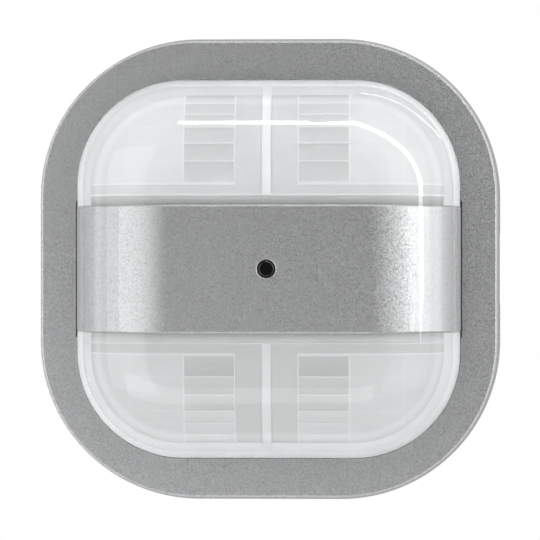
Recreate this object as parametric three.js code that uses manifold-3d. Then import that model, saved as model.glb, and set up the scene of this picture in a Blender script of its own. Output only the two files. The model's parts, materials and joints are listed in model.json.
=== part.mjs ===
// Flush-mounted wall motion sensor: a square pull-off cover with a domed lens and a
// bridging band, over an insert that sits in a 60 mm round wall box.
//
// Units are millimetres. The pieces are modelled in a face frame, with x to the right,
// y up and z from the wall into the room. The group at the end turns that frame so
// that +Z is up and the sensor looks along -Y. The wall plane is z = 0 in the face frame.

import * as THREE from "three";
import { mergeVertices } from "three/addons/utils/BufferGeometryUtils.js";
import Module from "manifold-3d";

const wasm = await Module();
wasm.setup();

// ---------------------------------------------------------------- driving dimensions

const GAP = 0.1; // between pieces that rest on each other
const RUN = 0.3; // round a piece that moves

const COVER = { size: 84, radius: 29, back: 0.6, front: 9, wall: 1.8, taper: 1.15, chamfer: 0.4 };
const OPENING = { width: 68.7, height: 67.8, radius: 19, chamfer: 0.25 };
const PRY_NOTCH = { length: 12.9, depth: 0.7, height: 1.4 };

const LENS = { fillet: 14.6, rise: 14.5, wall: 1.8, play: 0.15, flange: 3.6, flangeThick: 1 };
const LENS_RIB = { width: 1.9, depth: 1.6, from: 9.5 };
const EDGE_RIB = { y: 13, width: 0.8, depth: 0.9 };
const BAND = { height: 22.3, wall: 1.5, proud: 0.8, footProud: 0.4 };
const PEG = { radius: 0.7, length: 3.4, y: 7, play: 0.2 };
const GUIDE = { radius: 1.5, flange: 2.4, flangeThick: 0.8 };

const RETAINER = { size: 76.8, radius: 25.6, back: 3.4, front: 6, width: 62.4, height: 53.2, corner: 11 };
const LEG = { x: 8, width: 3.6, thick: 1.3, end: -2.6, hook: 0.5, hookTop: -0.4, hookLength: 1.2 };

const PLATE = { size: 70, radius: 14, thick: 1.2, opening: 32, openingRadius: 5, screwHole: 1.6 };
const BOX_SLOT = { pitch: 60, width: 3.8, length: 7.4 };
const CORNER_SLOT = { x: 24.5, y: 27.5, width: 3.4, length: 6 };
const EDGE_NOTCH = { y: 14, depth: 1.5, height: 5 };

const SHROUD = { width: 60.8, height: 51.2, radius: 10, back: 1.3, front: 9, wall: 1.5, chamfer: 0.8 };
const TUBE = { radius: 4.2, bore: 3.2, bossRadius: 2.4, bossBore: 1.1 };
const SENSOR_BOARD = { width: 52, height: 46, radius: 5, back: 2.4, thick: 1.6 };
const PIR = { y: 15, canRadius: 4.1, flangeRadius: 4.6, back: 5.4, front: 9.8 };
const TRIMMER = { x: 17, body: 6.5, bodyThick: 3, knobRadius: 2.6, knobFront: 9.6 };
const SWITCH = { x: -8.5, width: 9, height: 4, bodyThick: 3.1, travel: 2, knob: 2.2, knobFront: 10.2 };
const LAMP = { x: 8.5, radius: 1.5, front: 9.4 };
const CHIP = { x: 13, y: 11, length: 9.9, width: 3.9, thick: 1.5, leads: 7, pitch: 1.27 };

const CUP = { radius: 25.5, wall: 1.6, front: -0.2, back: -30, chamfer: 1.2, earRadius: 2.8, earThick: 2.2 };
const VENT = { rows: 5, pitch: 2.6, y: 13, width: 14, height: 1.2 };
const LABEL_SEAT = { y: 0.2, width: 24, height: 9, radius: 1, depth: 0.25 };
const EAR = 19; // x and y of the housing screws
const HOUSING_SCREW = { radius: 0.95, headRadius: 2.2, headThick: 1.6, length: 8 };
const MAIN_BOARD = { radius: 22.8, halfWidth: 17.6, back: -5.1, thick: 1.6 };
const HEADER = { y: -13, pins: 8, pitch: 2.54, body: 2.5, post: 0.64 };
const RELAY = { x: -4, y: 13, width: 20, height: 10, depth: 15.4 };
const FILM_CAPACITOR = { x: 12.1, y: 12, width: 10.6, height: 6, depth: 12 };
const ELECTROLYTIC = { x: -12, y: 1.5, radius: 4, length: 13, groove: 2.2 };
const CHOKE = { x: -2.5, y: 1.5, radius: 4, waist: 3, length: 9 };
const VARISTOR = { x: 8, y: 2.5, radius: 4.5, thick: 3.2, legX: 2.5, legRadius: 0.35, drop: 6.5 };

const CLAW = {
  screwX: 25.2,
  halfWidth: 5.5,
  sheet: 1.2,
  tabFront: -8.8,
  tabInner: 19.6,
  outer: 29.3,
  end: -19,
};
const CLAW_TRAVEL = 3; // outward and forward alike
const CLAW_SCREW = { radius: 1.45, headRadius: 2.75, headThick: 1.9, end: -19.4 };
const CLAW_NUT = { size: 5.5, thick: 2.2 };
const RECESS = { inner: 19.3, halfWidth: 7.2, floor: -20, wall: 1.4 };

const TERMINALS = 4;
const POLE_PITCH = 8.6;
const BLOCK = { width: 35, bottom: -22, top: -11, back: -29.8, front: -15, radius: 27.3 };
const POCKET = { width: 6.6, bottom: -20.6, top: -13, back: -27.3 };
const CAGE = { width: 6, height: 6.8, depth: 7.6, side: 0.9, floor: 1, threadWall: 1.4, front: -16.6 };
const POLE_SCREW = { radius: 1.3, headRadius: 2.4, headThick: 1.4, back: -29.3, tip: -22.2 };
const BUSBAR = { width: 3.4, thick: 1, back: -22, bottom: -19.5, top: -9.6 };
const WIRE_HOLE = { radius: 1.85, depth: 6, z: -19.3 };

// Places that several pieces share.
const BAND_HALF = OPENING.width / 2 - LENS.play + BAND.footProud;
const BOARD_TOP = SENSOR_BOARD.back + SENSOR_BOARD.thick + GAP;
const PARTS_TOP = MAIN_BOARD.back - GAP;
const POLE_Y = (POCKET.bottom + POCKET.top) / 2;
const SIDES = [-1, 1];
const QUADRANTS = [[1, 1], [-1, 1], [-1, -1], [1, -1]];

// ---------------------------------------------------------------- materials

function material(color, roughness, metalness) {
  return new THREE.MeshStandardMaterial({ color, roughness, metalness });
}

const FINISH = {
  silverPaint: material(0xa4a6a8, 0.42, 0.6),
  lensPlastic: material(0xe9ecec, 0.25, 0),
  tintedPlastic: material(0x0d0d0f, 0.1, 0),
  whitePlastic: material(0xf0f0ec, 0.5, 0),
  greyPlastic: material(0x4a4d50, 0.6, 0),
  blackPlastic: material(0x17181a, 0.5, 0),
  zincSteel: material(0xbfc1c2, 0.35, 1),
  nickel: material(0xc8c4b8, 0.3, 1),
  brass: material(0xc9a457, 0.35, 1),
  boardGreen: material(0x1f5b3a, 0.5, 0),
  filterGlass: material(0x3a3f4a, 0.15, 0),
  clearResin: material(0xd8e0e6, 0.1, 0),
  redResin: material(0xb01c1c, 0.15, 0),
  knobOrange: material(0xe0a030, 0.4, 0),
  knobBlue: material(0x2f6fb0, 0.4, 0),
  blueCoating: material(0x2b62a8, 0.3, 0),
  yellowCase: material(0xd9b43a, 0.5, 0),
  sleeve: material(0x20242c, 0.4, 0),
  ferrite: material(0x3b3633, 0.7, 0),
};

// ---------------------------------------------------------------- solids

// A closed geometry as a solid.
function solid(geometry) {
  const bare = geometry.clone();
  bare.deleteAttribute("normal");
  bare.deleteAttribute("uv");
  const merged = mergeVertices(bare, 1e-4);
  const triVerts = new Uint32Array(merged.index.array);
  const vertProperties = merged.attributes.position.array;
  return new wasm.Manifold(new wasm.Mesh({ numProp: 3, vertProperties, triVerts }));
}

// A named mesh from a solid, standing at a place in its group.
function piece(name, finish, body, x = 0, y = 0, z = 0) {
  const shape = body.getMesh();
  const geometry = new THREE.BufferGeometry();
  geometry.setAttribute("position", new THREE.BufferAttribute(new Float32Array(shape.vertProperties), 3));
  geometry.setIndex(new THREE.BufferAttribute(new Uint32Array(shape.triVerts), 1));
  geometry.computeVertexNormals();
  const mesh = new THREE.Mesh(geometry, finish);
  mesh.name = name;
  mesh.position.set(x, y, z);
  return mesh;
}

// A box centred on x and y that rises from z.
function box(width, height, depth, x = 0, y = 0, z = 0) {
  return solid(new THREE.BoxGeometry(width, height, depth).translate(x, y, z + depth / 2));
}

// A box between two corners.
function block([x0, y0, z0], [x1, y1, z1]) {
  return box(x1 - x0, y1 - y0, z1 - z0, (x0 + x1) / 2, (y0 + y1) / 2, z0);
}

// A cylinder along z that rises from z.
function rod(radius, depth, x = 0, y = 0, z = 0, sides = 16) {
  const shape = new THREE.CylinderGeometry(radius, radius, depth, sides).rotateX(Math.PI / 2);
  return solid(shape.translate(x, y, z + depth / 2));
}

// A turned piece about the z axis, from [radius, z] points that start and end on the axis.
function turned(points, sides = 24) {
  const profile = points.map(([radius, z]) => new THREE.Vector2(radius, z));
  return solid(new THREE.LatheGeometry(profile, sides).rotateX(Math.PI / 2));
}

function roundedRectangle(width, height, radius) {
  const [x, y] = [width / 2, height / 2];
  const shape = new THREE.Shape();
  shape.absarc(x - radius, y - radius, radius, 0, Math.PI / 2);
  shape.absarc(radius - x, y - radius, radius, Math.PI / 2, Math.PI);
  shape.absarc(radius - x, radius - y, radius, Math.PI, 1.5 * Math.PI);
  shape.absarc(x - radius, radius - y, radius, 1.5 * Math.PI, 2 * Math.PI);
  return shape;
}

// A plate with rounded corners that rises from z.
function slab(width, height, radius, depth, x = 0, y = 0, z = 0, steps = 6) {
  const outline = roundedRectangle(width, height, radius);
  const shape = new THREE.ExtrudeGeometry(outline, { depth, bevelEnabled: false, curveSegments: steps });
  return solid(shape.translate(x, y, z));
}

// A slot along x with round ends, cut through a sheet.
function slot(length, width, depth, x, y, z) {
  const almostRound = width / 2 - 1e-3;
  return slab(length, width, almostRound, depth, x, y, z, 4);
}

// The points of a rounded rectangle at height z, the same count for any size.
function ring({ width, height = width, radius, z }, steps) {
  const points = [];
  for (let corner = 0; corner < 4; corner++) {
    const cx = (width / 2 - radius) * (corner === 0 || corner === 3 ? 1 : -1);
    const cy = (height / 2 - radius) * (corner < 2 ? 1 : -1);
    for (let i = 0; i <= steps; i++) {
      const angle = ((corner + i / steps) * Math.PI) / 2;
      points.push([cx + radius * Math.cos(angle), cy + radius * Math.sin(angle), z]);
    }
  }
  return points;
}

// A surface through rounded rectangles. Closed, it is a frame; open, its ends are capped.
function loft(sections, { closed = false, steps = 9 } = {}) {
  const rings = sections.map((section) => ring(section, steps));
  const count = rings[0].length;
  const positions = rings.flat(2);
  const index = [];
  const spans = closed ? rings.length : rings.length - 1;
  for (let i = 0; i < spans; i++) {
    const [low, high] = [i * count, ((i + 1) % rings.length) * count];
    for (let j = 0; j < count; j++) {
      const k = (j + 1) % count;
      index.push(low + j, low + k, high + k, low + j, high + k, high + j);
    }
  }
  if (!closed) {
    const top = (rings.length - 1) * count;
    for (let j = 1; j < count - 1; j++) index.push(0, j + 1, j, top, top + j, top + j + 1);
  }
  const shape = new THREE.BufferGeometry();
  shape.setAttribute("position", new THREE.Float32BufferAttribute(positions, 3));
  shape.setIndex(index);
  return solid(shape);
}

const join = (bodies) => bodies.reduce((sum, body) => sum.add(body));
const cut = (body, tools) => tools.reduce((rest, tool) => rest.subtract(tool), body);

// ---------------------------------------------------------------- cover

// The dome of the lens, taken in by inset all over: a box whose front edges are rounded.
function dome(inset, bottom, steps = 7) {
  const { width, height, radius } = OPENING;
  const [fillet, rise] = [LENS.fillet - inset, LENS.rise - inset];
  const grown = LENS.play + inset;
  const base = { width: width - 2 * grown, height: height - 2 * grown, radius: radius - grown };
  const sections = [{ ...base, z: bottom }];
  for (let i = 0; i <= steps; i++) {
    const angle = ((i / steps) * Math.PI) / 2;
    const pull = fillet * (1 - Math.cos(angle));
    sections.push({
      width: base.width - 2 * pull,
      height: base.height - 2 * pull,
      radius: base.radius - pull,
      z: COVER.front + rise * Math.sin(angle),
    });
  }
  return loft(sections, { steps: 7 });
}

// The side view of the band's outside, taken in by inset and closed along its foot.
function bandOutline(inset, foot) {
  const [rx, rz] = [LENS.fillet - inset, LENS.rise + BAND.proud - inset];
  const outline = new THREE.Shape();
  outline.moveTo(BAND_HALF - inset, foot);
  outline.lineTo(BAND_HALF - inset, COVER.front);
  outline.absellipse(BAND_HALF - LENS.fillet, COVER.front, rx, rz, 0, Math.PI / 2);
  outline.absellipse(LENS.fillet - BAND_HALF, COVER.front, rx, rz, Math.PI / 2, Math.PI);
  outline.lineTo(inset - BAND_HALF, foot);
  return outline;
}

// The band's outline pulled through its height, which runs along y.
function bandBody(inset, foot, height) {
  const outline = bandOutline(inset, foot);
  const shape = new THREE.ExtrudeGeometry(outline, { depth: height, bevelEnabled: false, curveSegments: 12 });
  return solid(shape.rotateX(Math.PI / 2).translate(0, height / 2, 0));
}

// Four rods along z where the band's pegs stand.
function pegRods(radius, length, z) {
  const x = BAND_HALF - BAND.wall / 2;
  return QUADRANTS.map(([sx, sy]) => rod(radius, length, sx * x, sy * PEG.y, z, 8));
}

function bezelRing() {
  const { size, radius, back, front, wall, taper, chamfer } = COVER;
  const shoulder = front - chamfer;
  const plateBack = front - wall;
  const lip = { width: OPENING.width + 2 * OPENING.chamfer, height: OPENING.height + 2 * OPENING.chamfer };
  const draft = 0.45;
  const body = loft(
    [
      { width: size, radius, z: back },
      { width: size - 2 * taper, radius: radius - taper, z: shoulder },
      { width: size - 2 * (taper + chamfer), radius: radius - taper - chamfer, z: front },
      { ...OPENING, ...lip, z: front },
      { ...OPENING, z: front - OPENING.chamfer },
      { ...OPENING, z: plateBack },
      { width: size - 2 * (taper + wall + draft), radius: radius - taper - wall, z: plateBack },
      { width: size - 2 * wall, radius: radius - wall, z: back },
    ],
    { closed: true, steps: 12 },
  );
  const footWidth = 2;
  const footX = BAND_HALF + GAP - footWidth / 2;
  const notches = SIDES.flatMap((side) => [
    box(PRY_NOTCH.depth * 2, PRY_NOTCH.length, PRY_NOTCH.height, (side * size) / 2, 0, back - GAP),
    box(footWidth, BAND.height + 2 * GAP, 2 * wall, side * footX, 0, plateBack - wall),
  ]);
  return piece("bezel_ring", FINISH.silverPaint, cut(body, notches));
}

function centerBand() {
  const foot = COVER.front - COVER.wall;
  const shell = bandBody(0, foot, BAND.height).subtract(bandBody(BAND.wall, foot - 1, BAND.height + 2));
  const pegs = pegRods(PEG.radius, PEG.length, foot - PEG.length + GAP);
  const eye = rod(GUIDE.radius + GAP, 10, 0, 0, COVER.front + LENS.rise - 5, 32);
  return piece("center_band", FINISH.silverPaint, join([shell, ...pegs]).subtract(eye));
}

function lens() {
  const flangeBack = COVER.front - COVER.wall - GAP - LENS.flangeThick;
  const grown = 2 * (LENS.play - LENS.flange);
  const flange = {
    width: OPENING.width - grown,
    height: OPENING.height - grown,
    radius: OPENING.radius + LENS.flange,
  };
  const foot = flangeBack + LENS.flangeThick;
  const rim = loft([{ ...flange, z: flangeBack }, { ...flange, z: foot }], { steps: 7 });
  const outside = dome(0, flangeBack).add(rim);
  const top = COVER.front + LENS.rise - LENS.wall;
  const shell = outside.subtract(dome(LENS.wall, flangeBack - 1));
  const ribs = SIDES.flatMap((side) => {
    const reach = OPENING.height / 2 - LENS_RIB.from;
    const y = side * (LENS_RIB.from + reach / 2);
    return [
      box(LENS_RIB.width, reach, LENS_RIB.depth + 1, 0, y, top - LENS_RIB.depth),
      box(OPENING.width, EDGE_RIB.width, EDGE_RIB.depth + 1, 0, side * EDGE_RIB.y, top - EDGE_RIB.depth),
    ];
  });
  const ribbed = shell.add(join(ribs).intersect(dome(LENS.wall - 0.4, flangeBack)));
  // The band lies in a channel, and its pegs pass through the flange.
  const reach = bandBody(-3, foot, BAND.height + 2 * GAP);
  const channel = reach.subtract(bandBody(BAND.wall + GAP, foot - 1, BAND.height + 2));
  const holes = pegRods(PEG.radius + PEG.play, 4, flangeBack - 1);
  const eye = rod(GUIDE.radius + 2 * GAP, 8, 0, 0, top - 4, 24);
  return piece("lens", FINISH.lensPlastic, cut(ribbed, [channel, ...holes, eye]));
}

function lightGuide() {
  const { radius, flange, flangeThick } = GUIDE;
  const sunk = 0.15;
  const chamfer = 0.25;
  const front = COVER.front + LENS.rise + BAND.proud - sunk;
  const back = LAMP.front + 0.5;
  const seat = COVER.front + LENS.rise - LENS.wall - GAP;
  const body = turned([
    [0, back],
    [radius - 0.3, back],
    [radius, back + 0.4],
    [radius, seat - flangeThick],
    [flange, seat - flangeThick],
    [flange, seat],
    [radius, seat],
    [radius, front - chamfer],
    [radius - chamfer, front],
    [0, front],
  ]);
  return piece("light_guide", FINISH.tintedPlastic, body);
}

function lensRetainer() {
  const { size, radius, back, front, width, height, corner } = RETAINER;
  const outer = { width: size, radius };
  const inner = { width, height, radius: corner };
  const frame = loft(
    [{ ...outer, z: back }, { ...outer, z: front }, { ...inner, z: front }, { ...inner, z: back }],
    { closed: true },
  );
  const legBack = height / 2 + GAP;
  const legs = QUADRANTS.map(([sx, sy]) => {
    const y = sy * (legBack + LEG.thick / 2);
    const shank = box(LEG.width, LEG.thick, back - LEG.end + 1, sx * LEG.x, y, LEG.end);
    const hookZ = LEG.hookTop - LEG.hookLength;
    const hook = box(LEG.width, LEG.thick, LEG.hookLength, sx * LEG.x, y + sy * LEG.hook, hookZ);
    return shank.add(hook);
  });
  const holes = pegRods(PEG.radius + PEG.play, 5, back - 1);
  return piece("lens_retainer", FINISH.whitePlastic, cut(join([frame, ...legs]), holes));
}

// The two cuts of a cross recess in a screw head.
function crossRecess(long, wide, deep, z) {
  return [box(long, wide, deep, 0, 0, z), box(wide, long, deep, 0, 0, z)];
}

// ---------------------------------------------------------------- insert: frame and shells

function supportPlate() {
  const { size, radius, thick, opening, openingRadius, screwHole } = PLATE;
  const through = thick + 2;
  const legY = RETAINER.height / 2 + GAP + LEG.thick / 2 + LEG.hook / 2;
  const sheet = slab(size, size, radius, thick);
  const legRoom = 1;
  const tools = [slab(opening, opening, openingRadius, through, 0, 0, -1)];
  for (const side of SIDES) {
    tools.push(slot(BOX_SLOT.length, BOX_SLOT.width, through, 0, (side * BOX_SLOT.pitch) / 2, -1));
    tools.push(rod(CLAW_SCREW.radius + RUN, through, side * CLAW.screwX, 0, -1));
    tools.push(rod(screwHole, through, side * EAR, -side * EAR, -1, 12));
  }
  for (const [sx, sy] of QUADRANTS) {
    const [legWidth, legThick] = [LEG.width + legRoom, LEG.thick + LEG.hook + legRoom];
    tools.push(box(legWidth, legThick, through, sx * LEG.x, sy * legY, -1));
    const [slotX, slotY] = [sx * CORNER_SLOT.x, sy * CORNER_SLOT.y];
    tools.push(slot(CORNER_SLOT.length, CORNER_SLOT.width, through, slotX, slotY, -1));
    tools.push(box(2 * EDGE_NOTCH.depth, EDGE_NOTCH.height, through, sx * (size / 2), sy * EDGE_NOTCH.y, -1));
  }
  return piece("support_plate", FINISH.zincSteel, cut(sheet, tools));
}

function frontShroud() {
  const { width, height, radius, back, front, wall, chamfer } = SHROUD;
  const outside = loft([
    { width, height, radius, z: back },
    { width, height, radius, z: front - chamfer },
    { width: width - 2 * chamfer, height: height - 2 * chamfer, radius: radius - chamfer, z: front },
  ]);
  const hollow = slab(width - 2 * wall, height - 2 * wall, radius - wall, front - back, 0, 0, back - wall);
  const tall = front - back - 1;
  const tubes = SIDES.map((side) => rod(TUBE.radius, tall, side * CLAW.screwX, 0, back));
  const bosses = SIDES.map((side) => rod(TUBE.bossRadius, tall, side * EAR, -side * EAR, back, 12));
  const shell = join([outside.subtract(hollow), ...tubes, ...bosses]);
  const deep = front - back + 2;
  const tools = [];
  for (const side of SIDES) {
    tools.push(rod(TUBE.bore, deep, side * CLAW.screwX, 0, back - 1));
    tools.push(rod(TUBE.bossBore, tall - 1, side * EAR, -side * EAR, back - 0.5, 12));
    tools.push(rod(PIR.flangeRadius + 0.4, deep, 0, side * PIR.y, back - 1, 24));
    tools.push(rod(TRIMMER.knobRadius + RUN, deep, side * TRIMMER.x, 0, back - 1, 20));
  }
  const track = SWITCH.knob + 2 * RUN;
  tools.push(rod(LAMP.radius + 2 * GAP, deep, LAMP.x, 0, back - 1, 12));
  tools.push(rod(LAMP.radius + RUN, deep, 0, 0, back - 1, 12));
  tools.push(box(2 * SWITCH.travel + track, track, deep, SWITCH.x, 0, back - 1));
  return piece("front_shroud", FINISH.whitePlastic, cut(shell, tools));
}

// The pocket in each side of the housing where a claw works, with its ramp.
function clawPocket(side, grown) {
  const [inner, outer] = [RECESS.inner - grown, CUP.radius + 5];
  const height = 2 * (RECESS.halfWidth + grown);
  const floor = RECESS.floor - grown;
  return box(outer - inner, height, 1 - floor, (side * (inner + outer)) / 2, 0, floor);
}

// The ramp that pushes a claw outwards as it comes forwards.
function clawRamp(side) {
  const play = 0.4;
  const sum = CLAW.tabInner - CLAW.tabFront - play; // the ramp's face keeps x - z at this value
  const [inner, outer] = [RECESS.inner - 0.5, CLAW.screwX - CLAW_SCREW.radius - RUN];
  const outline = new THREE.Shape();
  outline.moveTo(inner, inner - sum);
  outline.lineTo(outer, outer - sum);
  outline.lineTo(outer, CUP.front);
  outline.lineTo(inner, CUP.front);
  const width = 2 * RECESS.halfWidth + 1;
  const shape = new THREE.ExtrudeGeometry(outline, { depth: width, bevelEnabled: false });
  shape.rotateX(Math.PI / 2).translate(0, width / 2, 0);
  if (side < 0) {
    shape.rotateZ(Math.PI);
  }
  return solid(shape);
}

function insertHousing() {
  const { radius, wall, front, back, chamfer, earRadius, earThick } = CUP;
  const depth = front - back;
  const cup = turned(
    [[0, back], [radius - chamfer, back], [radius, back + chamfer], [radius, front], [0, front]],
    64,
  );
  const ears = SIDES.map((side) => rod(earRadius, earThick, side * EAR, -side * EAR, front - earThick));
  const pockets = SIDES.map((side) => clawPocket(side, 0));
  const pocketWalls = SIDES.map((side) => clawPocket(side, RECESS.wall));
  const cavity = cut(rod(radius - wall, depth, 0, 0, back + wall, 64), pocketWalls);
  const bayHalf = BLOCK.width / 2 + GAP;
  const terminalBay = block([-bayHalf, -40, back - 1], [bayHalf, BLOCK.top + GAP, BLOCK.front + GAP]);
  const vents = Array.from({ length: VENT.rows }, (_, row) => {
    const y = VENT.y + (row - (VENT.rows - 1) / 2) * VENT.pitch;
    return box(VENT.width, VENT.height, 4, 0, y, back - 1);
  });
  const seat = slab(LABEL_SEAT.width, LABEL_SEAT.height, LABEL_SEAT.radius, 1, 0, LABEL_SEAT.y, back);
  const labelSeat = seat.translate([0, 0, LABEL_SEAT.depth - 1]);
  const screwHoles = SIDES.flatMap((side) => [
    rod(1.5, earThick + 2, side * EAR, -side * EAR, front - earThick - 1, 12),
    rod(HOUSING_SCREW.headRadius + GAP, depth, side * EAR, -side * EAR, front - earThick - depth),
  ]);
  const tools = [...pockets, cavity, terminalBay, ...vents, labelSeat, ...screwHoles];
  const shell = cut(join([cup, ...ears]), tools);
  return piece("insert_housing", FINISH.greyPlastic, join([shell, clawRamp(1), clawRamp(-1)]));
}

function housingScrew(name, side) {
  const { radius, headRadius, headThick, length } = HOUSING_SCREW;
  const head = rod(headRadius, headThick, 0, 0, -headThick);
  const shank = rod(radius, length + 0.5, 0, 0, -0.5, 10);
  const driven = cut(head.add(shank), crossRecess(3, 0.7, 0.8, -headThick - 0.2));
  return piece(name, FINISH.zincSteel, driven, side * EAR, -side * EAR, CUP.front - CUP.earThick - GAP);
}

// ---------------------------------------------------------------- insert: sensor board

function sensorBoard() {
  const { width, height, radius, back, thick } = SENSOR_BOARD;
  const tools = SIDES.flatMap((side) => [
    rod(TUBE.radius + 0.5, thick + 2, side * CLAW.screwX, 0, -1),
    rod(TUBE.bossRadius + 0.4, thick + 2, side * EAR, -side * EAR, -1, 12),
  ]);
  return piece("sensor_board", FINISH.boardGreen, cut(slab(width, height, radius, thick), tools), 0, 0, back);
}

function pirSensor(name, y) {
  const { canRadius, flangeRadius, back, front } = PIR;
  const height = front - back;
  const can = turned([
    [0, 0],
    [flangeRadius, 0],
    [flangeRadius, 0.7],
    [canRadius, 0.7],
    [canRadius, height - 0.4],
    [canRadius - 0.4, height],
    [0, height],
  ]);
  const pinCircle = 2.5;
  const pins = [90, 210, 330].map((degrees) => {
    const angle = THREE.MathUtils.degToRad(degrees);
    const [pinX, pinY] = [pinCircle * Math.cos(angle), pinCircle * Math.sin(angle)];
    return rod(0.25, back - BOARD_TOP + 0.5, pinX, pinY, BOARD_TOP - back, 8);
  });
  const windowSeat = box(5, 4, 1, 0, 0, height - 0.4);
  return piece(name, FINISH.nickel, join([can, ...pins]).subtract(windowSeat), 0, y, back);
}

function pirWindow(name, y) {
  return piece(name, FINISH.filterGlass, box(4.8, 3.8, 0.35), 0, y, PIR.front - 0.35);
}

// A round-nosed light emitter or receiver, standing on the board.
function dotLamp(name, finish, x, front) {
  const height = front - BOARD_TOP;
  const { radius } = LAMP;
  const nose = [1, 2, 3].map((i) => {
    const angle = (i * Math.PI) / 6;
    return [radius * Math.cos(angle), height - radius + radius * Math.sin(angle)];
  });
  nose[2][0] = 0;
  const collar = [[0, 0], [radius + 0.2, 0], [radius + 0.2, 0.9], [radius, 0.9]];
  const body = turned([...collar, [radius, height - radius], ...nose], 16);
  return piece(name, finish, body, x, 0, BOARD_TOP);
}

function trimmerBody(name, x) {
  const { body, bodyThick, knobRadius } = TRIMMER;
  const well = rod(knobRadius + RUN, 1.6, 0, 0, bodyThick - 1.4, 20);
  const square = slab(body, body, 0.6, bodyThick, 0, 0, 0, 3);
  return piece(name, FINISH.blackPlastic, square.subtract(well), x, 0, BOARD_TOP);
}

function trimmerKnob(name, finish, x) {
  const { bodyThick, knobRadius, knobFront } = TRIMMER;
  const back = BOARD_TOP + bodyThick - 1.2;
  const height = knobFront - back;
  const chamfer = 0.3;
  const slotDepth = 1;
  const knob = turned([
    [0, 0],
    [knobRadius, 0],
    [knobRadius, height - chamfer],
    [knobRadius - chamfer, height],
    [0, height],
  ]);
  const arrow = box(3.6, 0.8, slotDepth + 1, 0, 0, height - slotDepth);
  const tail = box(0.8, 2.4, slotDepth + 1, 0, 1, height - slotDepth);
  return piece(name, finish, cut(knob, [arrow, tail]), x, 0, back);
}

function switchBody() {
  const { x, width, height, bodyThick, travel, knob } = SWITCH;
  const track = box(2 * travel + knob + 2 * RUN, knob + 2 * RUN, 2, 0, 0, bodyThick - 1);
  const body = box(width, height, bodyThick).subtract(track);
  return piece("mode_switch_body", FINISH.blackPlastic, body, x, 0, BOARD_TOP);
}

function switchKnob() {
  const { x, bodyThick, knob, knobFront } = SWITCH;
  const back = BOARD_TOP + bodyThick - 0.8;
  const stem = box(knob, knob, knobFront - back);
  const ridges = [-0.6, 0, 0.6].map((offset) => box(0.2, knob + 1, 0.6, offset, 0, knobFront - back - 0.3));
  return piece("mode_switch_knob", FINISH.whitePlastic, cut(stem, ridges), x, 0, back);
}

function controllerChip() {
  const { x, y, length, width, thick, leads, pitch } = CHIP;
  const body = box(length, width, thick, 0, 0, 0.15);
  const legs = Array.from({ length: leads }, (_, i) =>
    box(0.4, width + 2, 0.25, (i - (leads - 1) / 2) * pitch, 0, 0.1),
  );
  return piece("controller_chip", FINISH.blackPlastic, join([body, ...legs]), x, y, BOARD_TOP);
}

// ---------------------------------------------------------------- insert: power board

function mainBoard() {
  const { radius, halfWidth, back, thick } = MAIN_BOARD;
  const disc = rod(radius, thick, 0, 0, 0, 64).intersect(box(2 * halfWidth, 60, thick));
  return piece("main_board", FINISH.boardGreen, disc, 0, 0, back);
}

function pinHeader() {
  const { y, pins, pitch, body: thick, post } = HEADER;
  const top = SENSOR_BOARD.back - GAP;
  const bottom = MAIN_BOARD.back + MAIN_BOARD.thick + GAP;
  const body = box(pins * pitch, thick, thick);
  const posts = Array.from({ length: pins }, (_, i) =>
    box(post, post, top - bottom, (i - (pins - 1) / 2) * pitch, 0, 0),
  );
  return piece("pin_header", FINISH.blackPlastic, join([body, ...posts]), 0, y, bottom);
}

function relay() {
  const { x, y, width, height, depth } = RELAY;
  return piece("relay", FINISH.sleeve, slab(width, height, 0.8, depth, 0, 0, 0, 3), x, y, PARTS_TOP - depth);
}

function filmCapacitor() {
  const { x, y, width, height, depth } = FILM_CAPACITOR;
  const body = slab(width, height, 0.6, depth, 0, 0, 0, 3);
  return piece("film_capacitor", FINISH.yellowCase, body, x, y, PARTS_TOP - depth);
}

function electrolyticCapacitor() {
  const { x, y, radius, length, groove } = ELECTROLYTIC;
  const rounding = 0.4;
  const rollTop = length - groove;
  const body = turned([
    [0, 0],
    [radius - rounding, 0],
    [radius, rounding],
    [radius, rollTop - 0.6],
    [radius - rounding, rollTop],
    [radius, rollTop + 0.6],
    [radius, length],
    [0, length],
  ]);
  const vent = join(crossRecess(5, 0.3, 0.6, -0.3));
  return piece("electrolytic_capacitor", FINISH.sleeve, body.subtract(vent), x, y, PARTS_TOP - length);
}

function choke() {
  const { x, y, radius, waist, length } = CHOKE;
  const [rim, shoulder] = [1, 1.2];
  const body = turned([
    [0, 0],
    [radius, 0],
    [radius, rim],
    [waist, shoulder],
    [waist, length - shoulder],
    [radius, length - rim],
    [radius, length],
    [0, length],
  ]);
  return piece("choke", FINISH.ferrite, body, x, y, PARTS_TOP - length);
}

function varistor() {
  const { x, y, radius, thick, legX, legRadius, drop } = VARISTOR;
  const disc = solid(new THREE.CylinderGeometry(radius, radius, thick, 32));
  const legs = SIDES.map((side) => rod(legRadius, 3.5, side * legX, 0, 3, 8));
  return piece("varistor", FINISH.blueCoating, join([disc, ...legs]), x, y, PARTS_TOP - drop);
}

// ---------------------------------------------------------------- insert: terminals

function poleX(pole) {
  return (pole - (TERMINALS - 1) / 2) * POLE_PITCH;
}

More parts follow.
